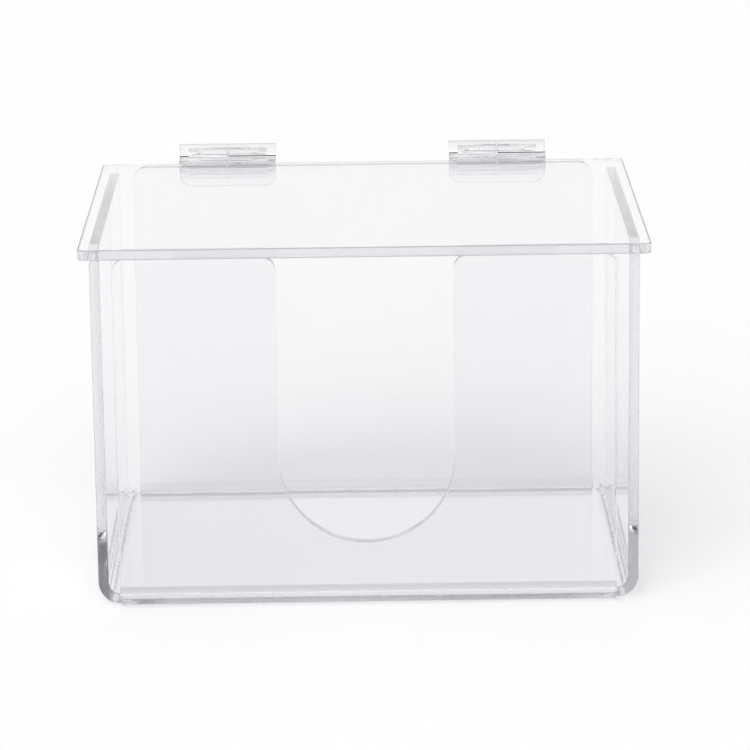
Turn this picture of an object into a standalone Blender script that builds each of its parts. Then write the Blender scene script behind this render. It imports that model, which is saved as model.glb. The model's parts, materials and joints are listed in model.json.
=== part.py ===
"""Clear acrylic face mask dispenser: a tray folded from one sheet, a flat lid and two butt hinges.

Metres, +Z up. The front wall, with the U-shaped slot, faces -Y, and left is -X. The origin is the
middle of the tray's underside, halfway between the outer faces of its four walls.
"""

import math

import bmesh
import bpy
from mathutils import Matrix, Quaternion, Vector

# Clearances
SEAT_GAP = 0.0003  # under the lid, and the glue line under each hinge leaf
RUNNING_GAP = 0.0002  # pin to bore
KNUCKLE_GAP = 0.0004  # between two knuckles, and round them
MERGE_WITHIN = 0.000001

# The tray, one sheet bent up on four sides
TRAY_WIDTH = 0.235
TRAY_DEPTH = 0.181
TRAY_HEIGHT = 0.156
TRAY_SHEET = 0.0045
BEND_INNER_RADIUS = 0.0055
BEND_STEPS = 12
WALL_CORNER_RADIUS = 0.00635
ARC_STEPS = 8

# The slot in the front wall, open at the top and half round at the bottom
SLOT_WIDTH = 0.0755
SLOT_BOTTOM_HEIGHT = 0.0298
SLOT_CORNER_RADIUS = 0.00635
SLOT_ARC_STEPS = 32

# The lid, flush with the back wall and proud of the other three
LID_THICKNESS = 0.0045
LID_SIDE_OVERHANG = 0.004
LID_FRONT_OVERHANG = 0.004
LID_CORNER_RADIUS = 0.0032

# The hinges, four leaves of one moulding and two pins
HINGE_WIDTH = 0.045
HINGE_SPACING = 0.126  # between the middles of the two hinges
LEAF_REACH = 0.019  # from the pin's axis to the leaf's far edge
LEAF_THICKNESS = 0.002
LEAF_CORNER_RADIUS = 0.006
LEAF_FILLET = 0.0006  # where the plate meets the knuckle
LEAF_EDGE_ROUND = 0.0004
KNUCKLE_RADIUS = 0.004
KNUCKLE_STEPS = 36
PIN_RADIUS = 0.0013
PIN_INSET = 0.0043  # from each end of the knuckles, whose bores end in solid plastic
PIN_END_ROUND = 0.0003
PIN_SIDES = 32
EDGE_SEGMENTS = 2

# The bend's own sizes
BEND_OUTER_RADIUS = BEND_INNER_RADIUS + TRAY_SHEET
BEND_MIDDLE_RADIUS = BEND_INNER_RADIUS + TRAY_SHEET / 2
BEND_LENGTH = BEND_MIDDLE_RADIUS * math.pi / 2
FLOOR_HALF_WIDTH = TRAY_WIDTH / 2 - BEND_OUTER_RADIUS
FLOOR_HALF_DEPTH = TRAY_DEPTH / 2 - BEND_OUTER_RADIUS
WALL_RISE = TRAY_HEIGHT - BEND_OUTER_RADIUS  # the straight part of a wall, above its bend
FLAP_LENGTH = BEND_LENGTH + WALL_RISE  # on the flat sheet, from the floor's edge to the rim

# Where the lid and the hinges sit
LID_UNDERSIDE = TRAY_HEIGHT + SEAT_GAP
LID_TOP = LID_UNDERSIDE + LID_THICKNESS
BACK_FACE = TRAY_DEPTH / 2
PIN_LENGTH = HINGE_WIDTH - 2 * PIN_INSET
PIN_AXIS = Vector((0, BACK_FACE + SEAT_GAP + KNUCKLE_RADIUS, LID_TOP + SEAT_GAP + KNUCKLE_RADIUS))
CUT_MARGIN = 0.002  # how far a cutter runs past what it cuts

SHEET_COLOUR = (0.93, 0.95, 0.97, 1)
HINGE_COLOUR = (0.9, 0.92, 0.95, 1)
SHEET_ROUGHNESS = 0.03
HINGE_ROUGHNESS = 0.12
ACRYLIC_IOR = 1.49
SMOOTH_BELOW = math.radians(30)
FLAT_WITHIN = math.radians(0.5)


def clear_scene():
    for obj in list(bpy.data.objects):
        bpy.data.objects.remove(obj, do_unlink=True)
    for collection in list(bpy.data.collections):
        bpy.data.collections.remove(collection)


def new_collection(name):
    collection = bpy.data.collections.new(name)
    bpy.context.scene.collection.children.link(collection)
    return collection


def clear_plastic(name, colour, roughness):
    material = bpy.data.materials.new(name)
    material.use_nodes = True
    shader = material.node_tree.nodes["Principled BSDF"]
    shader.inputs["Base Color"].default_value = colour
    shader.inputs["Metallic"].default_value = 0
    shader.inputs["Roughness"].default_value = roughness
    shader.inputs["IOR"].default_value = ACRYLIC_IOR
    shader.inputs["Transmission Weight"].default_value = 1
    return material


def add_object(name, mesh, collection, material):
    obj = bpy.data.objects.new(name, mesh)
    if not mesh.materials:
        mesh.materials.append(material)
    collection.objects.link(obj)
    mesh.shade_smooth()
    mesh.set_sharp_from_angle(angle=SMOOTH_BELOW)
    return obj


def arc(centre, radius, start, end, steps):
    """Points of a round stretch, from one angle to another in degrees."""
    points = []
    for n in range(steps + 1):
        angle = math.radians(start + (end - start) * n / steps)
        points.append((centre[0] + radius * math.cos(angle), centre[1] + radius * math.sin(angle)))
    return points


def sheet_mesh(name, outline, thickness):
    """A flat sheet cut to an outline, lying on z = 0, as a closed mesh."""
    curve = bpy.data.curves.new(name, "CURVE")
    curve.dimensions = "2D"
    curve.fill_mode = "BOTH"
    curve.extrude = thickness / 2
    spline = curve.splines.new("POLY")
    spline.points.add(len(outline) - 1)
    for point, (x, y) in zip(spline.points, outline):
        point.co = (x, y, 0, 1)
    spline.use_cyclic_u = True
    guide = bpy.data.objects.new(name, curve)
    bpy.context.scene.collection.objects.link(guide)
    bpy.context.view_layer.update()
    graph = bpy.context.evaluated_depsgraph_get()
    mesh = bpy.data.meshes.new_from_object(guide.evaluated_get(graph))
    mesh.name = name
    bpy.data.objects.remove(guide, do_unlink=True)

    bm = bmesh.new()
    bm.from_mesh(mesh)
    bmesh.ops.translate(bm, vec=(0, 0, thickness / 2), verts=bm.verts)
    bmesh.ops.remove_doubles(bm, verts=bm.verts, dist=MERGE_WITHIN)
    bmesh.ops.dissolve_limit(bm, angle_limit=FLAT_WITHIN, verts=bm.verts, edges=bm.edges)
    bmesh.ops.recalc_face_normals(bm, faces=bm.faces)
    bm.to_mesh(mesh)
    bm.free()
    return mesh


def plain_flap_end(half_width):
    """The rim end of a flap, from its one side to its other, with distance from the floor first."""
    inset = half_width - WALL_CORNER_RADIUS
    reach = FLAP_LENGTH - WALL_CORNER_RADIUS
    return (
        arc((reach, -inset), WALL_CORNER_RADIUS, -90, 0, ARC_STEPS)
        + arc((reach, inset), WALL_CORNER_RADIUS, 0, 90, ARC_STEPS)
    )


def slotted_flap_end(half_width):
    """The same with the slot cut in: down its one side, round its bottom and up its other."""
    inset = half_width - WALL_CORNER_RADIUS
    reach = FLAP_LENGTH - WALL_CORNER_RADIUS
    slot_half = SLOT_WIDTH / 2
    mouth = slot_half + SLOT_CORNER_RADIUS
    mouth_reach = FLAP_LENGTH - SLOT_CORNER_RADIUS
    slot_end = FLAP_LENGTH - (TRAY_HEIGHT - SLOT_BOTTOM_HEIGHT)
    return (
        arc((reach, -inset), WALL_CORNER_RADIUS, -90, 0, ARC_STEPS)
        + arc((mouth_reach, -mouth), SLOT_CORNER_RADIUS, 0, 90, ARC_STEPS)
        + arc((slot_end + slot_half, 0), slot_half, 270, 90, SLOT_ARC_STEPS)
        + arc((mouth_reach, mouth), SLOT_CORNER_RADIUS, -90, 0, ARC_STEPS)
        + arc((reach, inset), WALL_CORNER_RADIUS, 0, 90, ARC_STEPS)
    )


def blank_outline():
    """The flat sheet before bending: the floor with a flap on each side, anticlockwise."""
    flaps = (
        ((1, 0), FLOOR_HALF_WIDTH, FLOOR_HALF_DEPTH, plain_flap_end),
        ((0, 1), FLOOR_HALF_DEPTH, FLOOR_HALF_WIDTH, plain_flap_end),
        ((-1, 0), FLOOR_HALF_WIDTH, FLOOR_HALF_DEPTH, plain_flap_end),
        ((0, -1), FLOOR_HALF_DEPTH, FLOOR_HALF_WIDTH, slotted_flap_end),
    )
    outline = []
    for (out_x, out_y), start, half_width, flap_end in flaps:
        for distance, across in [(0, -half_width)] + flap_end(half_width):
            reach = start + distance
            outline.append((reach * out_x - across * out_y, reach * out_y + across * out_x))
    return outline


def bend_up(distance, height):
    """Where a point of the flat flap goes: its distance past the floor's edge, and its height."""
    radius = BEND_OUTER_RADIUS - height
    angle = min(distance / BEND_MIDDLE_RADIUS, math.pi / 2)
    rise = max(distance - BEND_LENGTH, 0)
    return radius * math.sin(angle), BEND_OUTER_RADIUS - radius * math.cos(angle) + rise


def fold(bm):
    """Cuts the blank along its bend lines, then turns the four flaps up."""
    for out, half in (((1, 0, 0), FLOOR_HALF_WIDTH), ((0, 1, 0), FLOOR_HALF_DEPTH)):
        for side in (-1, 1):
            outward = Vector(out) * side
            for n in range(BEND_STEPS + 1):
                bmesh.ops.bisect_plane(
                    bm,
                    geom=bm.verts[:] + bm.edges[:] + bm.faces[:],
                    dist=MERGE_WITHIN,
                    plane_co=outward * (half + BEND_LENGTH * n / BEND_STEPS),
                    plane_no=outward,
                )
    for vert in bm.verts:
        x, y, height = vert.co
        past_side = abs(x) - FLOOR_HALF_WIDTH
        past_end = abs(y) - FLOOR_HALF_DEPTH
        if past_side > max(past_end, 0):
            reach, vert.co.z = bend_up(past_side, height)
            vert.co.x = math.copysign(FLOOR_HALF_WIDTH + reach, x)
        elif past_end > 0:
            reach, vert.co.z = bend_up(past_end, height)
            vert.co.y = math.copysign(FLOOR_HALF_DEPTH + reach, y)


def build_tray(collection, material):
    mesh = sheet_mesh("folded_tray", blank_outline(), TRAY_SHEET)
    bm = bmesh.new()
    bm.from_mesh(mesh)
    fold(bm)
    bm.to_mesh(mesh)
    bm.free()
    return add_object("folded_tray", mesh, collection, material)


def rounded_rectangle(low, high, radius):
    """An anticlockwise outline between two corners, with round corners."""
    return (
        arc((high[0] - radius, low[1] + radius), radius, -90, 0, ARC_STEPS)
        + arc((high[0] - radius, high[1] - radius), radius, 0, 90, ARC_STEPS)
        + arc((low[0] + radius, high[1] - radius), radius, 90, 180, ARC_STEPS)
        + arc((low[0] + radius, low[1] + radius), radius, 180, 270, ARC_STEPS)
    )


def build_lid(collection, material, hinge_line):
    """The lid's origin is on the hinges' axis, which it turns about."""
    half_width = TRAY_WIDTH / 2 + LID_SIDE_OVERHANG
    front = -TRAY_DEPTH / 2 - LID_FRONT_OVERHANG
    outline = rounded_rectangle((-half_width, front), (half_width, BACK_FACE), LID_CORNER_RADIUS)
    mesh = sheet_mesh("lid", outline, LID_THICKNESS)
    mesh.transform(Matrix.Translation(Vector((0, 0, LID_UNDERSIDE)) - PIN_AXIS))
    lid = add_object("lid", mesh, collection, material)
    lid.parent = hinge_line
    return lid


def rod_mesh(name, radius, length):
    """A closed rod along X, its middle at the origin."""
    bm = bmesh.new()
    bmesh.ops.create_cone(
        bm, cap_ends=True, segments=PIN_SIDES, radius1=radius, radius2=radius, depth=length
    )
    bmesh.ops.rotate(bm, cent=(0, 0, 0), matrix=Matrix.Rotation(math.pi / 2, 3, "Y"), verts=bm.verts)
    mesh = bpy.data.meshes.new(name)
    bm.to_mesh(mesh)
    bm.free()
    return mesh


def box_mesh(name, low, high):
    bm = bmesh.new()
    bmesh.ops.create_cube(bm, size=1)
    bmesh.ops.scale(bm, vec=Vector(high) - Vector(low), verts=bm.verts)
    bmesh.ops.translate(bm, vec=(Vector(low) + Vector(high)) / 2, verts=bm.verts)
    mesh = bpy.data.meshes.new(name)
    bm.to_mesh(mesh)
    bm.free()
    return mesh


def fillet_centre():
    """The fillet touches the top of the plate and the outside of the knuckle."""
    height = LEAF_THICKNESS - KNUCKLE_RADIUS + LEAF_FILLET
    return -math.sqrt((KNUCKLE_RADIUS + LEAF_FILLET) ** 2 - height**2), height


def leaf_profile():
    """The leaf seen from its end, the pin's axis at (0, 0): seat, round knuckle, fillet and plate."""
    centre = fillet_centre()
    meets = math.degrees(math.atan2(centre[1], centre[0])) % 360
    far = -LEAF_REACH - CUT_MARGIN
    return (
        [(far, -KNUCKLE_RADIUS)]
        + arc((0, 0), KNUCKLE_RADIUS, -90, meets, KNUCKLE_STEPS)
        + arc(centre, LEAF_FILLET, meets - 180, -90, ARC_STEPS)[1:]
        + [(far, LEAF_THICKNESS - KNUCKLE_RADIUS)]
    )


def leaf_plan():
    """The leaf seen from above: square at the knuckle and round at the two far corners."""
    half = HINGE_WIDTH / 2
    inset = half - LEAF_CORNER_RADIUS
    far = -LEAF_REACH + LEAF_CORNER_RADIUS
    back = KNUCKLE_RADIUS + CUT_MARGIN
    return (
        [(half, back), (-half, back)]
        + arc((-inset, far), LEAF_CORNER_RADIUS, 180, 270, ARC_STEPS)
        + arc((inset, far), LEAF_CORNER_RADIUS, 270, 360, ARC_STEPS)
    )


def add_cut(obj, cutter, operation):
    cut = obj.modifiers.new(f"{operation.lower()} {cutter.name}", "BOOLEAN")
    cut.operation = operation
    cut.solver = "EXACT"
    cut.object = cutter
    cutter.hide_render = True
    cutter.display_type = "WIRE"


def leaf_mesh(cutters, material):
    """One leaf, its pin's axis on X: the knuckle fills -X, the plate reaches -Y and the seat faces -Z."""
    long_width = HINGE_WIDTH + 2 * CUT_MARGIN
    height = 2 * KNUCKLE_RADIUS + 2 * CUT_MARGIN
    bar = sheet_mesh("leaf_bar", leaf_profile(), long_width)
    along_x = Matrix(((0, 0, 1, -long_width / 2), (1, 0, 0, 0), (0, 1, 0, 0), (0, 0, 0, 1)))
    bar.transform(along_x)
    plan = sheet_mesh("leaf_plan", leaf_plan(), height)
    plan.transform(Matrix.Translation((0, 0, -height / 2)))
    room = box_mesh(
        "other_knuckle_room",
        (-KNUCKLE_GAP / 2, fillet_centre()[0] - KNUCKLE_GAP, -height),
        (long_width, KNUCKLE_RADIUS + CUT_MARGIN, height),
    )
    bore = rod_mesh("leaf_bore", PIN_RADIUS + RUNNING_GAP, PIN_LENGTH + 2 * RUNNING_GAP)

    leaf = add_object("leaf_bar", bar, cutters, material)
    add_cut(leaf, add_object("leaf_plan", plan, cutters, material), "INTERSECT")
    add_cut(leaf, add_object("other_knuckle_room", room, cutters, material), "DIFFERENCE")
    add_cut(leaf, add_object("leaf_bore", bore, cutters, material), "DIFFERENCE")
    mesh = modified_mesh(leaf, "hinge_leaf", LEAF_EDGE_ROUND)
    leaf.hide_render = True
    leaf.display_type = "WIRE"
    return mesh


def pin_mesh(cutters, material):
    rod = add_object("pin_rod", rod_mesh("pin_rod", PIN_RADIUS, PIN_LENGTH), cutters, material)
    mesh = modified_mesh(rod, "hinge_pin", PIN_END_ROUND)
    rod.hide_render = True
    rod.display_type = "WIRE"
    return mesh


def modified_mesh(obj, name, edge_round):
    """The object's mesh with its cuts made and its sharp edges rounded, for its copies to share."""
    bevel = obj.modifiers.new("edge round", "BEVEL")
    bevel.width = edge_round
    bevel.segments = EDGE_SEGMENTS
    bevel.limit_method = "ANGLE"
    bevel.angle_limit = SMOOTH_BELOW
    bpy.context.view_layer.update()
    graph = bpy.context.evaluated_depsgraph_get()
    mesh = bpy.data.meshes.new_from_object(obj.evaluated_get(graph))
    mesh.name = name
    return mesh


def build_hinge(side, x, leaf, pin, collection, material, hinge_line):
    """Two leaves of one moulding, the tray's turned half round so that its knuckle fills the gap."""
    lid_leaf = add_object(f"{side}_hinge_lid_leaf", leaf, collection, material)
    tray_leaf = add_object(f"{side}_hinge_tray_leaf", leaf, collection, material)
    rod = add_object(f"{side}_hinge_pin", pin, collection, material)
    tray_leaf.rotation_mode = "QUATERNION"
    tray_leaf.rotation_quaternion = Quaternion((0, 1, 1), math.pi)
    lid_leaf.parent = hinge_line
    lid_leaf.location = (x, 0, 0)
    tray_leaf.location = PIN_AXIS + Vector((x, 0, 0))
    rod.location = PIN_AXIS + Vector((x, 0, 0))


def main():
    clear_scene()
    parts = new_collection("face_mask_dispenser")
    cutters = new_collection("cutters")
    sheet = clear_plastic("clear_sheet", SHEET_COLOUR, SHEET_ROUGHNESS)
    moulding = clear_plastic("clear_moulding", HINGE_COLOUR, HINGE_ROUGHNESS)

    hinge_line = bpy.data.objects.new("hinge_line", None)
    hinge_line.location = PIN_AXIS
    parts.objects.link(hinge_line)

    build_tray(parts, sheet)
    build_lid(parts, sheet, hinge_line)
    leaf = leaf_mesh(cutters, moulding)
    pin = pin_mesh(cutters, moulding)
    for side, x in (("left", -HINGE_SPACING / 2), ("right", HINGE_SPACING / 2)):
        build_hinge(side, x, leaf, pin, parts, moulding, hinge_line)


main()
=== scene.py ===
"""Looks of a clear acrylic face mask dispenser: a tray folded from one sheet, a flat lid and two hinges.

Metres, +Z up. The front wall, with the U-shaped slot, faces -Y, and left is -X.
"""

import json
import math

import bmesh
import bpy
from mathutils import Matrix, Quaternion, Vector


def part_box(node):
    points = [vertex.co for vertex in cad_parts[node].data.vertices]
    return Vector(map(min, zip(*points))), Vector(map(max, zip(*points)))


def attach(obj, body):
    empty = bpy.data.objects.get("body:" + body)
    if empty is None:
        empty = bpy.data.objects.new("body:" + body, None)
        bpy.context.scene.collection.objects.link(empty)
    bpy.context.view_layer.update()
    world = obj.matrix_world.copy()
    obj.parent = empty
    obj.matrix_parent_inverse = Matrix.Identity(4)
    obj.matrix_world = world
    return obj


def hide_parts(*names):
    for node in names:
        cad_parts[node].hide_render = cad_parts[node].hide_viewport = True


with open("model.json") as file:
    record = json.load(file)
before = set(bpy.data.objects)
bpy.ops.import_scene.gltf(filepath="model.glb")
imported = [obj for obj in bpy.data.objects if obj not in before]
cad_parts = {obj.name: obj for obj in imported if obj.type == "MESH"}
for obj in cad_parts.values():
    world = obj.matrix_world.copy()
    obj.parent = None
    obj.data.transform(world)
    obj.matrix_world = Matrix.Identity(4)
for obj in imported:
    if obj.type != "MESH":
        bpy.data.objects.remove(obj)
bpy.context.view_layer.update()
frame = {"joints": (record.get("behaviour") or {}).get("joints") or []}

# Sizes read from the frame
tray_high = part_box("folded_tray")[1]
lid_low, lid_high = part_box("lid")
leaf_low, leaf_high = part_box("left_hinge_lid_leaf")
pin_low, pin_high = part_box("left_hinge_pin")
hinge_line = Vector(frame["joints"][0]["pos_m"])
sheet = lid_high.z - lid_low.z
rim_height = tray_high.z
hinge_width = leaf_high.x - leaf_low.x
hinge_middle = -(leaf_low.x + leaf_high.x) / 2
knuckle_radius = leaf_high.z - hinge_line.z
leaf_reach = hinge_line.y - leaf_low.y
pin_radius = pin_high.z - hinge_line.z
pin_length = pin_high.x - pin_low.x

# The tray's bends and its slot
BEND_INNER_RADIUS = 0.0055
BEND_STEPS = 48
BEND_SWELL = 0.0003  # how far a bend's ends swell on the inner side, where the sheet was squeezed
WALL_CORNER_RADIUS = 0.00635
SLOT_WIDTH = 0.0755
SLOT_BOTTOM_HEIGHT = 0.0298
SLOT_ROUND = 0.999  # of half the slot's width, so that its two round corners don't quite meet
SLOT_SEGMENTS = 120

# Corners and polished cut edges of the sheet
LID_CORNER_RADIUS = 0.0032
CORNER_SEGMENTS = 24
SHEET_EDGE_ROUND = 0.0005
EDGE_SEGMENTS = 5

# The hinges
LEAF_THICKNESS = 0.002
LEAF_CORNER_RADIUS = 0.006
LEAF_FILLET = 0.0006
LEAF_EDGE_ROUND = 0.0004
KNUCKLE_GAP = 0.0004
RUNNING_GAP = 0.0002
KNUCKLE_STEPS = 56
WEB_STEPS = 14
PIN_SEGMENTS = 48
PIN_END_ROUND = 0.0003

# How near counts as the same
MERGE_WITHIN = 0.000001
SAME_PLACE = 0.00001
FLAT_WITHIN = math.radians(0.5)
SHARP_ABOVE = math.radians(60)
SQUARE = 0.99  # how squarely an edge or a face has to point
SIDEWAYS = 0.001  # how far sideways a face has to point to belong to a cut edge

# The acrylic. Grains and reliefs are in metres
PLASTIC_IOR = 1.49
PLASTIC_TINT = (0.7, 0.71, 0.75)
PLASTIC_DENSITY = 3
SURFACE_TINT = (0.95, 0.952, 0.96)
MOULDING_TINT = (0.965, 0.967, 0.975)

# Its cut, rounded and bent edges
# Painted shade: the rounds along the sheet's cut edges are coloured darker, standing in for the dark lines
# seen through them. The slot's edge gets less of it.
SHEET_EDGE_PAINTED_SHADE = (0.79, 0.797, 0.817)
# Painted shade: the hinges' rounded edges are coloured darker, standing in for the dark outlines seen
# through them.
MOULDING_EDGE_PAINTED_SHADE = (0.74, 0.75, 0.77)
CUT_ROUGHNESS = 0.05
MILLED_ROUGHNESS = 0.27
MILLED_PALENESS = 0.5  # how much of the rounded edges' tint the slot's edge goes without
CUT_RIPPLE = 0.000001
RIPPLE_GRAIN = (0.0015, 0.0015, 0.006)
RIPPLE_DETAIL = 1
BEND_PUCKER = 0.00013
PUCKER_GRAIN = (0.0022, 0.0022, 0.003)
PUCKER_TURN = (0.4, 0.3, 0)
PUCKER_DETAIL = 0

# Its wear: patches that were wiped, hairlines and specks of dust
WIPED_ROUGHNESS = 0.004
WIPED_GRAIN = (0.05, 0.05, 0.05)
WIPED_FROM_TO = (0.5, 0.8)
HAIRLINE_ROUGHNESS = 0.03
HAIRLINE_GRAIN = (0.0006, 0.0006, 0.05)
HAIRLINE_TURN = (0.9, 0.5, 0.3)
HAIRLINE_DETAIL = 0
HAIRLINE_FROM_TO = (0.8, 0.86)
DUST_ROUGHNESS = 0.3
DUST_SPACING = 0.03
DUST_RADIUS = 0.0002

# The moulded hinges: cloudy tint, fingered patches and flow marks
CLOUD_GRAIN = (0.012, 0.004, 0.004)
HANDLED_ROUGHNESS = 0.004
HANDLED_GRAIN = (0.006, 0.006, 0.006)
HANDLED_FROM_TO = (0.4, 0.8)
FLOW_RELIEF = 0.000003
FLOW_GRAIN = (0.012, 0.0016, 0.0016)
FLOW_TURN = (0, 0, 0.05)

# The floor
FLOOR_HALF_WIDTH = 20
FLOOR_GAP = 0.0002
FLOOR_COLOUR = (0.9, 0.9, 0.9)
FLOOR_GLOW = (0.2, 0.202, 0.217)

# The studio round it, in strips: the height where each starts, from 0 to 1 overhead, and its level
BEHIND_STRIPS = (
    (0, 1.38), (0.07, 0.05), (0.185, 0.99), (0.22, 1.17), (0.32, 0.49),
    (0.45, 0.6), (0.6, 0.1), (0.75, 0.99), (0.88, 0.88), (0.96, 1),
)
CAMERA_STRIPS = (
    (0, 1), (0.05, 0.87), (0.07, 0.73), (0.14, 0.84), (0.22, 1.35), (0.32, 1.1),
    (0.45, 0.54), (0.6, 0.23), (0.75, 0.34), (0.88, 0.56), (0.96, 1),
)
SIDE_STRIPS = ((0, 1), (0.05, 0.8), (0.45, 0.78), (0.6, 0.92), (0.96, 1))
BRIGHTEST_STRIP = 1.5
STRIP_END = (-0.15, 0.15)
FLAG_DIRECTION = (0.37, 0, 0.93)
FLAG_EDGE = (0.92, 0.955)

# The key lamp
LAMP_PLACE = (-0.25, -1, 0.95)
LAMP_SPREAD = math.radians(60)
LAMP_LEVEL = 1.1
LAMP_COLOUR = (1, 0.97, 0.92)
LIGHT_BOUNCES = 64  # clear sheets behind clear sheets need many

# The camera's place, solved from the photograph
CAMERA_PLACE = Vector((-0.0028, -1.6897, 0.517))
CAMERA_YAW = math.radians(0.239)
CAMERA_PITCH = math.radians(-14.481)
CAMERA_ROLL = math.radians(-0.704)
FOCAL_LENGTH = 185.87
SENSOR_WIDTH = 36
SEEN_FROM_TO = (0.05, 100)

# The Mix node's sockets for colours
MIX_SHARE, MIX_FIRST, MIX_SECOND = 0, 6, 7
MIX_COLOUR = 2

# Sizes that follow from these
bend_outer_radius = BEND_INNER_RADIUS + sheet
bend_middle_radius = BEND_INNER_RADIUS + sheet / 2
bend_length = bend_middle_radius * math.pi / 2
floor_half_width = tray_high.x - bend_outer_radius
floor_half_depth = tray_high.y - bend_outer_radius
flap_length = bend_length + rim_height - bend_outer_radius
bore_radius = pin_radius + RUNNING_GAP
bore_reach = pin_length / 2 + RUNNING_GAP
slot_half = SLOT_WIDTH / 2
slot_end = flap_length - (rim_height - SLOT_BOTTOM_HEIGHT)


def near(a, b):
    return abs(a - b) < SAME_PLACE


def slice_at(bm, place, normal):
    """Cuts every face and edge that a plane crosses."""
    bmesh.ops.bisect_plane(
        bm,
        geom=bm.verts[:] + bm.edges[:] + bm.faces[:],
        dist=MERGE_WITHIN,
        plane_co=place,
        plane_no=normal,
    )


def pull_out(bm, faces, offset):
    """Extrudes a patch of faces, moves it by the offset and returns it."""
    edges = list({edge for face in faces for edge in face.edges})
    grown = bmesh.ops.extrude_face_region(bm, geom=faces + edges)["geom"]
    moved = [item for item in grown if isinstance(item, bmesh.types.BMVert)]
    bmesh.ops.translate(bm, vec=offset, verts=moved)
    return [item for item in grown if isinstance(item, bmesh.types.BMFace)]


def outermost_faces(bm, outward):
    """The faces that lie furthest out on one side."""
    bm.normal_update()
    facing = [face for face in bm.faces if face.normal.dot(outward) > SQUARE]
    furthest = max(face.calc_center_median().dot(outward) for face in facing)
    return [face for face in facing if near(face.calc_center_median().dot(outward), furthest)]


def upright_edges(bm, wanted):
    """The edges along Z whose place in plan passes the test wanted(x, y)."""
    picked = []
    for edge in bm.edges:
        start, end = (vert.co for vert in edge.verts)
        if abs((end - start).normalized().z) > SQUARE and wanted(start.x, start.y):
            picked.append(edge)
    return picked


def round_edges(bm, edges, radius, segments):
    """Rounds edges and returns their new faces."""
    return bmesh.ops.bevel(
        bm,
        geom=edges,
        offset=radius,
        offset_type="OFFSET",
        segments=segments,
        profile=0.5,
        affect="EDGES",
        clamp_overlap=False,
        material=-1,
    )["faces"]


def sharp_edges(bm):
    bm.normal_update()
    return [edge for edge in bm.edges if edge.is_manifold and edge.calc_face_angle() > SHARP_ABOVE]


def box(low, high):
    bm = bmesh.new()
    bmesh.ops.create_cube(bm, size=1)
    bmesh.ops.scale(bm, vec=high - low, verts=bm.verts)
    bmesh.ops.translate(bm, vec=(low + high) / 2, verts=bm.verts)
    return bm


def mark_cut_edges(bm):
    """Notes how far each face of a flat sheet faces sideways: 0 on its two faces, 1 on a cut one."""
    cut = bm.faces.layers.float.new("cut")
    bm.normal_update()
    for face in bm.faces:
        face[cut] = 1 - abs(face.normal.z)


def mark_slot(bm):
    """Notes the slot's cut faces with 1, from its bottom up to the rounded corners of the rim."""
    milled = bm.faces.layers.float.new("milled")
    cut = bm.faces.layers.float["cut"]
    slot_top = -floor_half_depth - flap_length + WALL_CORNER_RADIUS
    for face in bm.faces:
        middle = face.calc_center_median()
        within = abs(middle.x) < slot_half + SHEET_EDGE_ROUND
        if within and slot_top < middle.y < -floor_half_depth and face[cut] > SIDEWAYS:
            face[milled] = 1


def add_piece(name, bm, finish, body, node):
    """A finished piece in its place, which rides on a body and stands for a CAD node."""
    mesh = bpy.data.meshes.new(name)
    bm.to_mesh(mesh)
    bm.free()
    mesh.shade_smooth()
    mesh.materials.append(finish)
    piece = bpy.data.objects.new(name, mesh)
    bpy.context.scene.collection.objects.link(piece)
    piece.modifiers.new("flats stay flat", "WEIGHTED_NORMAL")
    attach(piece, body)
    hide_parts(node)


def flat_blank():
    """The sheet before bending: the floor with a flap on each side, the front one slotted."""
    floor_corner = Vector((floor_half_width, floor_half_depth, sheet))
    bm = box(Vector((-floor_corner.x, -floor_corner.y, 0)), floor_corner)
    for x in (-slot_half, slot_half):
        slice_at(bm, (x, 0, 0), (1, 0, 0))
    right, back = Vector((1, 0, 0)), Vector((0, 1, 0))
    sides = [(outward, outermost_faces(bm, outward)) for outward in (right, -right, back)]
    front_side = outermost_faces(bm, -back)
    for outward, side in sides:
        pull_out(bm, side, outward * flap_length)
    below_slot = pull_out(bm, front_side, -back * slot_end)
    beside_slot = [face for face in below_slot if abs(face.calc_center_median().x) > slot_half]
    pull_out(bm, beside_slot, -back * (flap_length - slot_end))
    bmesh.ops.dissolve_limit(bm, angle_limit=FLAT_WITHIN, verts=bm.verts, edges=bm.edges)

    far_x, far_y = floor_half_width + flap_length, floor_half_depth + flap_length
    rim_corners = upright_edges(bm, lambda x, y: near(abs(x), far_x) or near(abs(y), far_y))
    round_edges(bm, rim_corners, WALL_CORNER_RADIUS, CORNER_SEGMENTS)
    slot_bottom = upright_edges(bm, lambda x, y: near(y, -floor_half_depth - slot_end))
    round_edges(bm, slot_bottom, slot_half * SLOT_ROUND, SLOT_SEGMENTS)
    level = [edge for edge in sharp_edges(bm) if near(edge.verts[0].co.z, edge.verts[1].co.z)]
    round_edges(bm, level, SHEET_EDGE_ROUND, EDGE_SEGMENTS)
    mark_cut_edges(bm)
    mark_slot(bm)
    return bm


def bend_up(distance, height):
    """Where a point of a flat flap goes: its distance past the floor's edge, and its height."""
    radius = bend_outer_radius - height
    angle = min(distance / bend_middle_radius, math.pi / 2)
    rise = max(distance - bend_length, 0)
    return radius * math.sin(angle), bend_outer_radius - radius * math.cos(angle) + rise


def at_bend_end(distance, across, half_width):
    """1 in the middle of a bend's cut end, fading to 0 along the sheet and towards the flat parts."""
    if distance >= bend_length:
        return 0
    near_end = max(abs(across) - half_width + sheet, 0) / sheet
    return near_end**2 * math.sin(math.pi * distance / bend_length) ** 2


def swell(end, across, height):
    """How far a bend's cut end moves: out where the sheet was squeezed, and in where it was stretched."""
    return math.copysign(BEND_SWELL * end * (2 * height / sheet - 1), across)


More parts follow.
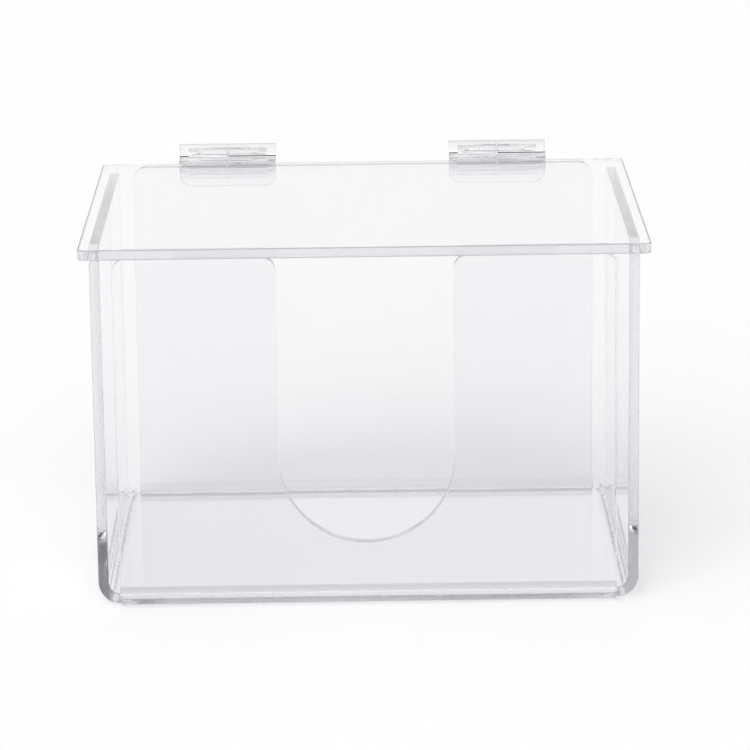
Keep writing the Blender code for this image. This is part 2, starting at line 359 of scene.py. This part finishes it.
def fold(bm):
    """Slices the blank across its bends, then turns the four flaps up."""
    sides = (Vector((1, 0, 0)), floor_half_width), (Vector((0, 1, 0)), floor_half_depth)
    for axis, half in sides:
        for outward in (axis, -axis):
            for n in range(BEND_STEPS + 1):
                slice_at(bm, outward * (half + bend_length * n / BEND_STEPS), outward)
    bent = bm.verts.layers.float.new("bent")
    for vert in bm.verts:
        x, y, height = vert.co
        past_side = abs(x) - floor_half_width
        past_end = abs(y) - floor_half_depth
        if past_side > max(past_end, 0):
            vert[bent] = at_bend_end(past_side, y, floor_half_depth)
            reach, vert.co.z = bend_up(past_side, height)
            vert.co.x = math.copysign(floor_half_width + reach, x)
            vert.co.y += swell(vert[bent], y, height)
        elif past_end > 0:
            vert[bent] = at_bend_end(past_end, x, floor_half_width)
            reach, vert.co.z = bend_up(past_end, height)
            vert.co.y = math.copysign(floor_half_depth + reach, y)
            vert.co.x += swell(vert[bent], x, height)


def make_tray(finish):
    bm = flat_blank()
    fold(bm)
    add_piece("clear_tray", bm, finish, "tray", "folded_tray")


def make_lid(finish):
    bm = box(lid_low, lid_high)
    round_edges(bm, upright_edges(bm, lambda x, y: True), LID_CORNER_RADIUS, CORNER_SEGMENTS)
    round_edges(bm, sharp_edges(bm), SHEET_EDGE_ROUND, EDGE_SEGMENTS)
    mark_cut_edges(bm)
    add_piece("clear_lid", bm, finish, "lid", "lid")


def turn(bm, geom, angle, steps):
    """Spins part of a leaf's end view about the pin, and returns what ends up last."""
    return bmesh.ops.spin(
        bm, geom=geom, cent=(0, 0, 0), axis=(1, 0, 0), dvec=(0, 0, 0), angle=angle, steps=steps
    )["geom_last"]


def push_to(bm, edges, y):
    """Extrudes edges of a leaf's end view straight out to a line, and returns the new edges."""
    grown = bmesh.ops.extrude_edge_only(bm, edges=edges)["geom"]
    for item in grown:
        if isinstance(item, bmesh.types.BMVert):
            item.co.y = y
    return [item for item in grown if isinstance(item, bmesh.types.BMEdge)
            and all(near(vert.co.y, y) for vert in item.verts)]


def close_bore(bm, x):
    """Fills the ring of edges where the pin's bore ends."""
    ring = [edge for edge in bm.edges if all(near(vert.co.x, x) and near(vert.co.yz.length, bore_radius)
            for vert in edge.verts)]
    return bmesh.ops.contextual_create(bm, geom=ring)["faces"]


def leaf():
    """One leaf, its pin's axis on X: the plate reaches out to -Y and its seat faces -Z."""
    half = hinge_width / 2
    plate_top = LEAF_THICKNESS - knuckle_radius
    web_angle = math.acos(-plate_top / knuckle_radius)
    bm = bmesh.new()
    rounded = bm.faces.layers.float.new("rounded")
    spoke = [bm.verts.new((0, 0, -bore_radius)), bm.verts.new((0, 0, -knuckle_radius))]
    spoke.append(bm.edges.new(spoke))
    turned = turn(bm, spoke, math.tau - web_angle, KNUCKLE_STEPS)
    turn(bm, turned, web_angle, WEB_STEPS)
    bmesh.ops.remove_doubles(bm, verts=bm.verts, dist=MERGE_WITHIN)

    beside_plate = [vert for vert in bm.verts if near(vert.co.yz.length, knuckle_radius)
                    and vert.co.y < SAME_PLACE and vert.co.z < plate_top + SAME_PLACE]
    web_side = [edge for edge in bm.edges if all(vert in beside_plate for vert in edge.verts)]
    plate_end = -knuckle_radius - LEAF_FILLET - KNUCKLE_GAP
    plate_side = push_to(bm, web_side, plate_end)
    push_to(bm, plate_side, -leaf_reach)

    bmesh.ops.translate(bm, vec=(-KNUCKLE_GAP / 2, 0, 0), verts=bm.verts)
    plate = [face for face in bm.faces if face.calc_center_median().y < plate_end]
    bmesh.ops.recalc_face_normals(bm, faces=bm.faces)
    far_end = pull_out(bm, bm.faces[:], Vector((KNUCKLE_GAP / 2 - bore_reach, 0, 0)))
    bore_end = close_bore(bm, -bore_reach)
    pull_out(bm, far_end + bore_end, Vector((bore_reach - half, 0, 0)))
    close_bore(bm, -bore_reach)
    pull_out(bm, plate, Vector((half + KNUCKLE_GAP / 2, 0, 0)))
    bmesh.ops.recalc_face_normals(bm, faces=bm.faces)
    flat = [edge for edge in bm.edges if edge.is_manifold and edge.calc_face_angle() < FLAT_WITHIN
            and max(vert.co.y for vert in edge.verts) < plate_end + SAME_PLACE]
    bmesh.ops.dissolve_edges(bm, edges=flat, use_verts=True)

    far_corners = upright_edges(bm, lambda x, y: near(y, -leaf_reach))
    round_edges(bm, far_corners, LEAF_CORNER_RADIUS, CORNER_SEGMENTS)
    sharp = sharp_edges(bm)
    hollow = [edge for edge in sharp if not edge.is_convex and near(edge.verts[0].co.z, edge.verts[1].co.z)
              and near(edge.verts[0].co.z, plate_top) and near(edge.verts[0].co.y, edge.verts[1].co.y)]
    round_edges(bm, hollow, LEAF_FILLET, EDGE_SEGMENTS)
    outer = [edge for edge in sharp_edges(bm) if edge.is_convex]
    # The rounded faces are noted, for the painted shade that the finish puts on them.
    for face in round_edges(bm, outer, LEAF_EDGE_ROUND, EDGE_SEGMENTS):
        face[rounded] = 1
    return bm


def pin():
    bm = bmesh.new()
    bmesh.ops.create_cone(
        bm, cap_ends=True, segments=PIN_SEGMENTS, radius1=pin_radius, radius2=pin_radius, depth=pin_length
    )
    bmesh.ops.rotate(bm, cent=(0, 0, 0), matrix=Matrix.Rotation(math.pi / 2, 3, "Y"), verts=bm.verts)
    round_edges(bm, sharp_edges(bm), PIN_END_ROUND, EDGE_SEGMENTS)
    return bm


def make_hinge(side, x, finish):
    """The tray's leaf is the lid's, turned half round so that its knuckle fills the gap."""
    place = hinge_line + Vector((x, 0, 0))
    on_lid, on_tray, rod = leaf(), leaf(), pin()
    half_turn = Quaternion((0, 1, 1), math.pi).to_matrix()
    bmesh.ops.rotate(on_tray, cent=(0, 0, 0), matrix=half_turn, verts=on_tray.verts)
    for bm in (on_lid, on_tray, rod):
        bmesh.ops.translate(bm, vec=place, verts=bm.verts)
    add_piece(f"{side}_lid_leaf", on_lid, finish, "lid", f"{side}_hinge_lid_leaf")
    add_piece(f"{side}_tray_leaf", on_tray, finish, "tray", f"{side}_hinge_tray_leaf")
    add_piece(f"{side}_pin", rod, finish, "tray", f"{side}_hinge_pin")


class Signal:
    """A value on a node's output. Sums with it add Math nodes."""

    def __init__(self, shader, socket):
        self.shader = shader
        self.socket = socket

    def __add__(self, other):
        return self.shader.calculate("ADD", self, other)

    __radd__ = __add__

    def __sub__(self, other):
        return self.shader.calculate("SUBTRACT", self, other)

    def __rsub__(self, other):
        return self.shader.calculate("SUBTRACT", other, self)

    def __mul__(self, other):
        return self.shader.calculate("MULTIPLY", self, other)

    __rmul__ = __mul__

    def fade(self, low, high):
        """0 below one value and 1 above the other, smooth between. The values may fall too."""
        ends = {"Value": self, "From Min": low, "From Max": high}
        return self.shader.node("MapRange", {"interpolation_type": "SMOOTHSTEP"}, ends)


class Shader:
    """The node tree of a material or of the world."""

    def __init__(self, owner):
        owner.use_nodes = True
        self.tree = owner.node_tree

    def node(self, kind, settings=None, sockets=None, output=0):
        """Adds a node, makes its settings, fills its sockets and returns one of its outputs."""
        added = self.tree.nodes.new("ShaderNode" + kind)
        for name, setting in (settings or {}).items():
            if name == "stops":
                self.set_stops(added.color_ramp, setting)
            else:
                setattr(added, name, setting)
        self.fill(added, sockets or {})
        return Signal(self, added.outputs[output])

    def set_stops(self, ramp, stops):
        """Grey steps in rising order: where each starts, from 0 to 1, and its level."""
        ramp.interpolation = "CONSTANT"
        ramp.elements[0].position, ramp.elements[-1].position = stops[0][0], stops[-1][0]
        for start, level in stops[1:-1]:
            ramp.elements.new(start)
        for element, (start, level) in zip(ramp.elements, stops):
            element.color = (level, level, level, 1)

    def calculate(self, operation, *values):
        return self.node("Math", {"operation": operation}, dict(enumerate(values)))

    def fill(self, added, sockets):
        for key, value in sockets.items():
            if isinstance(value, Signal):
                self.tree.links.new(value.socket, added.inputs[key])
            else:
                added.inputs[key].default_value = value


def noise(shader, patch, turned=(0, 0, 0), detail=2):
    """Smooth noise from 0 to 1. The patch is its grain's length along X, Y and Z, in metres."""
    place = shader.node("TexCoord", None, None, "Object")
    laid = {"Vector": place, "Rotation": turned, "Scale": patch}
    laid = shader.node("Mapping", {"vector_type": "TEXTURE"}, laid)
    return shader.node("TexNoise", None, {"Vector": laid, "Scale": 1, "Detail": detail})


def specks(shader, spacing, radius):
    """Small round dots, 1 inside and 0 outside."""
    place = shader.node("TexCoord", None, None, "Object")
    distance = shader.node("TexVoronoi", None, {"Vector": place, "Scale": 1 / spacing})
    return distance.fade(radius / spacing, radius / spacing / 2)


def mark(shader, name):
    """A value that the mesh keeps for itself."""
    return shader.node("Attribute", {"attribute_name": name}, None, "Fac")


def mix(shader, share, first, second):
    """A colour that goes from the first to the second as the share goes from 0 to 1."""
    sockets = {MIX_SHARE: share, MIX_FIRST: first, MIX_SECOND: second}
    return shader.node("Mix", {"data_type": "RGBA"}, sockets, MIX_COLOUR)


def clear_plastic(name, tint, roughness, height):
    """Clear acrylic whose polish and relief vary. The height is in metres."""
    shader = Shader(bpy.data.materials.new(name))
    relief = shader.node("Bump", None, {"Strength": 1, "Distance": 1, "Height": height(shader)})
    shader.fill(shader.tree.nodes["Principled BSDF"], {
        "Base Color": tint(shader),
        "Roughness": roughness(shader),
        "IOR": PLASTIC_IOR,
        "Transmission Weight": 1,
        "Normal": relief,
    })
    absorption = {"Color": (*PLASTIC_TINT, 1), "Density": PLASTIC_DENSITY}
    absorbed = shader.node("VolumeAbsorption", None, absorption)
    shader.fill(shader.tree.nodes["Material Output"], {"Volume": absorbed})
    return bpy.data.materials[name]


def make_sheet_finish():
    """Cast sheet: clear polished faces, duller edges with painted shade on their rounds, a milled slot, and
    bend ends that heat puckered.
    """

    def tint(shader):
        # Painted shade: colour on the rounds of the cut edges, most halfway round and less on the slot.
        cut = mark(shader, "cut")
        halfway_round = cut * (1 - cut) * 4
        rounded = halfway_round * (1 - mark(shader, "milled") * MILLED_PALENESS)
        return mix(shader, rounded, (*SURFACE_TINT, 1), (*SHEET_EDGE_PAINTED_SHADE, 1))

    def roughness(shader):
        wiped = noise(shader, WIPED_GRAIN).fade(*WIPED_FROM_TO)
        hairlines = noise(shader, HAIRLINE_GRAIN, HAIRLINE_TURN, HAIRLINE_DETAIL).fade(*HAIRLINE_FROM_TO)
        dust = specks(shader, DUST_SPACING, DUST_RADIUS)
        worn = wiped * WIPED_ROUGHNESS + hairlines * HAIRLINE_ROUGHNESS + dust * DUST_ROUGHNESS
        straight_cut = mark(shader, "cut") * (1 - mark(shader, "bent"))
        return worn + straight_cut * CUT_ROUGHNESS + mark(shader, "milled") * MILLED_ROUGHNESS

    def height(shader):
        ripple = noise(shader, RIPPLE_GRAIN, detail=RIPPLE_DETAIL) * mark(shader, "cut")
        pucker = noise(shader, PUCKER_GRAIN, PUCKER_TURN, PUCKER_DETAIL) * mark(shader, "bent")
        return ripple * CUT_RIPPLE + pucker * BEND_PUCKER

    return clear_plastic("clear sheet", tint, roughness, height)


def make_moulding_finish():
    """Moulded hinge plastic: a cloudy tint, painted shade on the rounded edges, and flow marks along the
    barrel.
    """

    def tint(shader):
        cloudy = mix(shader, noise(shader, CLOUD_GRAIN), (*MOULDING_TINT, 1), (*SURFACE_TINT, 1))
        # Painted shade on the rounded edges
        return mix(shader, mark(shader, "rounded"), cloudy, (*MOULDING_EDGE_PAINTED_SHADE, 1))

    def roughness(shader):
        return noise(shader, HANDLED_GRAIN).fade(*HANDLED_FROM_TO) * HANDLED_ROUGHNESS

    def height(shader):
        return noise(shader, FLOW_GRAIN, FLOW_TURN) * FLOW_RELIEF

    return clear_plastic("clear moulding", tint, roughness, height)


def set_camera():
    data = bpy.data.cameras.new("camera")
    data.lens = FOCAL_LENGTH
    data.sensor_width = SENSOR_WIDTH
    data.clip_start, data.clip_end = SEEN_FROM_TO
    camera = bpy.data.objects.new("camera", data)
    bpy.context.scene.collection.objects.link(camera)
    camera.location = CAMERA_PLACE
    level = Matrix.Rotation(-CAMERA_YAW, 4, "Z") @ Matrix.Rotation(math.pi / 2 + CAMERA_PITCH, 4, "X")
    camera.rotation_euler = (level @ Matrix.Rotation(CAMERA_ROLL, 4, "Z")).to_euler()
    bpy.context.scene.camera = camera


def set_floor():
    """A plain pale floor that glows enough to be white where no shadow falls."""
    bm = bmesh.new()
    bmesh.ops.create_grid(bm, x_segments=1, y_segments=1, size=FLOOR_HALF_WIDTH)
    mesh = bpy.data.meshes.new("floor")
    bm.to_mesh(mesh)
    bm.free()
    floor = bpy.data.objects.new("floor", mesh)
    floor.location = (0, 0, -FLOOR_GAP)
    bpy.context.scene.collection.objects.link(floor)
    material = bpy.data.materials.new("pale floor")
    shader = Shader(material)
    shader.fill(shader.tree.nodes["Principled BSDF"], {
        "Base Color": (*FLOOR_COLOUR, 1),
        "Roughness": 1,
        "Specular IOR Level": 0,
        "Emission Color": (*FLOOR_GLOW, 1),
        "Emission Strength": 1,
    })
    mesh.materials.append(material)


def strip_level(shader, height, strips):
    """How bright the strips are at a height. A ramp holds no level over 1, so it is scaled up behind it."""
    stops = [(start, level / BRIGHTEST_STRIP) for start, level in strips]
    return shader.node("ValToRGB", {"stops": stops}, {0: height}) * BRIGHTEST_STRIP


def set_world():
    """A studio with plain sides, and lit and dark strips behind the box and behind the camera."""
    world = bpy.data.worlds.new("studio")
    bpy.context.scene.world = world
    shader = Shader(world)
    direction = shader.node("TexCoord", None, None, "Generated")
    x, y, z = (shader.node("SeparateXYZ", None, {0: direction}, n) for n in range(3))
    aside = shader.calculate("ABSOLUTE", x)
    behind = strip_level(shader, z, BEHIND_STRIPS)
    camera_side = strip_level(shader, z, CAMERA_STRIPS)
    beside = strip_level(shader, z, SIDE_STRIPS)
    level = beside + (y - aside).fade(*STRIP_END) * (behind - beside)
    level = level + (0 - y - aside).fade(*STRIP_END) * (camera_side - beside)
    flag = shader.node("VectorMath", {"operation": "DOT_PRODUCT"}, {0: direction, 1: FLAG_DIRECTION}, 1)
    level = level * (1 - flag.fade(*FLAG_EDGE))
    colour = shader.node("CombineXYZ", None, {"X": level, "Y": level, "Z": level})
    shader.fill(shader.tree.nodes["Background"], {"Color": colour})


def set_key_lamp():
    data = bpy.data.lights.new("key lamp", "SUN")
    data.angle = LAMP_SPREAD
    data.energy = LAMP_LEVEL
    data.color = LAMP_COLOUR
    data.cycles.use_multiple_importance_sampling = False
    lamp = bpy.data.objects.new("key lamp", data)
    bpy.context.scene.collection.objects.link(lamp)
    lamp.location = LAMP_PLACE
    lamp.rotation_euler = Vector(LAMP_PLACE).to_track_quat("Z", "Y").to_euler()


scene = bpy.context.scene
scene.view_settings.view_transform = "Standard"
scene.cycles.max_bounces = LIGHT_BOUNCES
scene.cycles.transmission_bounces = LIGHT_BOUNCES
scene.cycles.glossy_bounces = LIGHT_BOUNCES
scene.cycles.transparent_max_bounces = LIGHT_BOUNCES
scene.cycles.blur_glossy = 0
sheet_finish = make_sheet_finish()
moulding_finish = make_moulding_finish()
make_tray(sheet_finish)
make_lid(sheet_finish)
for side, x in (("left", -hinge_middle), ("right", hinge_middle)):
    make_hinge(side, x, moulding_finish)
set_floor()
set_world()
set_key_lamp()
set_camera()
